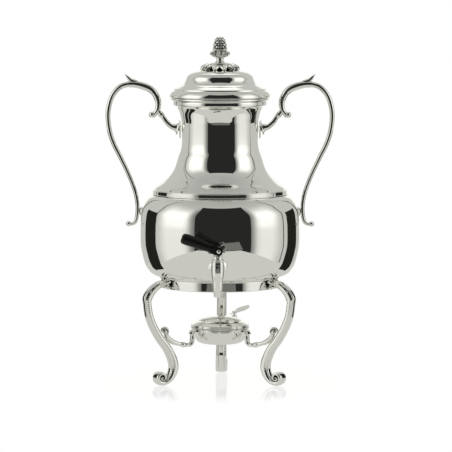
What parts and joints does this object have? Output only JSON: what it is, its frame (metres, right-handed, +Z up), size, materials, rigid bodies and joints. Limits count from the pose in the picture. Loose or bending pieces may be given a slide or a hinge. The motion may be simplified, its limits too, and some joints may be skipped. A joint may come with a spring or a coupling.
{
  "type": "coffee urn on stand",
  "caption": "Footed hot-drink urn with a lift-off lid, scroll handles and a lever tap, resting on a stand that carries a spirit burner.",
  "frame": {"origin": "on the surface it stands on, at the middle of the object's footprint box; the urn's own axis is 11 mm behind it, because the tap reaches forward", "axes": "+Z up the urn; the tap faces -Y; the two handles lie along X"},
  "size_m": [0.3048, 0.2527, 0.4604],
  "materials": {
    "silver_plate": "polished silver plate on spun metal",
    "cast_silver_plate": "silver-plated casting, bright on its ridges and darker in its hollows",
    "brass": "turned brass",
    "steel": "plain steel",
    "black_lever": "moulded black plastic, satin gloss",
    "rubber": "black seal rubber",
    "wick": "braided cotton"
  },
  "bodies": {
    "stand": {"stand_ring": "silver_plate", "burner_ring": "silver_plate", "leg_back": "cast_silver_plate", "ring_leaf_back": "cast_silver_plate", "arm_back": "cast_silver_plate", "claw_back": "cast_silver_plate", "leg_left": "cast_silver_plate", "ring_leaf_left": "cast_silver_plate", "arm_left": "cast_silver_plate", "claw_left": "cast_silver_plate", "leg_right": "cast_silver_plate", "ring_leaf_right": "cast_silver_plate", "arm_right": "cast_silver_plate", "claw_right": "cast_silver_plate"},
    "urn": {"bowl": "silver_plate", "foot_rim": "silver_plate", "shoulder_band": "silver_plate", "neck": "silver_plate", "mouth_rim": "silver_plate", "handle_left": "cast_silver_plate", "handle_leaf_left": "cast_silver_plate", "handle_foot_left": "cast_silver_plate", "handle_right": "cast_silver_plate", "handle_leaf_right": "cast_silver_plate", "handle_foot_right": "cast_silver_plate", "tap_escutcheon": "silver_plate", "tap_washer": "rubber", "tap_lock_nut": "brass", "tap_shank": "silver_plate", "tap_body": "silver_plate", "tap_bonnet": "silver_plate", "tap_spring": "steel"},
    "lid": {"lid": "silver_plate", "lid_collar": "silver_plate", "lid_rosette": "cast_silver_plate", "finial_calyx": "cast_silver_plate", "finial_acorn": "cast_silver_plate", "finial_stud": "steel", "finial_washer": "steel", "finial_nut": "brass"},
    "tap_turn": {"tap_thrust_washer": "brass"},
    "tap_stem": {"tap_stem": "silver_plate", "tap_seat_cup": "rubber", "tap_lever_pin": "silver_plate"},
    "tap_lever": {"tap_lever": "black_lever"},
    "burner": {"burner_bowl": "silver_plate"},
    "burner_top": {"burner_cover": "silver_plate", "wick_tube": "brass", "wick": "wick", "snuffer_pivot": "silver_plate"},
    "snuffer": {"snuffer_lid": "silver_plate", "snuffer_handle": "silver_plate"}
  },
  "joints": [
    {"name": "urn_lift", "type": "slide", "parent": "stand", "child": "urn", "axis": [0, 0, 1], "range_m": [0, 0.06]},
    {"name": "lid_lift", "type": "slide", "parent": "urn", "child": "lid", "axis": [0, 0, 1], "range_m": [0, 0.08]},
    {"name": "tap_swivel", "type": "hinge", "parent": "urn", "child": "tap_turn", "pos_m": [0, -0.119, 0.1815], "axis": [0, 0, 1], "range_deg": [-20, 200]},
    {"name": "tap_lift", "type": "slide", "parent": "tap_turn", "child": "tap_stem", "axis": [0, 0, 1], "range_m": [0, 0.0027], "deforming": ["tap_spring"]},
    {"name": "tap_raise", "type": "hinge", "parent": "tap_stem", "child": "tap_lever", "pos_m": [0.0014, -0.119, 0.1866], "axis": [0, 1, 0], "range_deg": [0, 70], "stiffness_Nm_per_rad": 0.01, "springref_deg": -28.65},
    {"name": "burner_lift", "type": "slide", "parent": "stand", "child": "burner", "axis": [0, 0, 1], "range_m": [0, 0.012]},
    {"name": "burner_top_lift", "type": "slide", "parent": "burner", "child": "burner_top", "axis": [0, 0, 1], "range_m": [0, 0.01]},
    {"name": "snuffer_swing", "type": "hinge", "parent": "burner_top", "child": "snuffer", "pos_m": [0.01876, 0.04102, 0.088], "axis": [0, 0, 1], "range_deg": [0, 100]}
  ],
  "couplings": [
    {"joint": "tap_lift", "follows": "tap_raise", "m_per_rad": 0.00213}
  ]
}
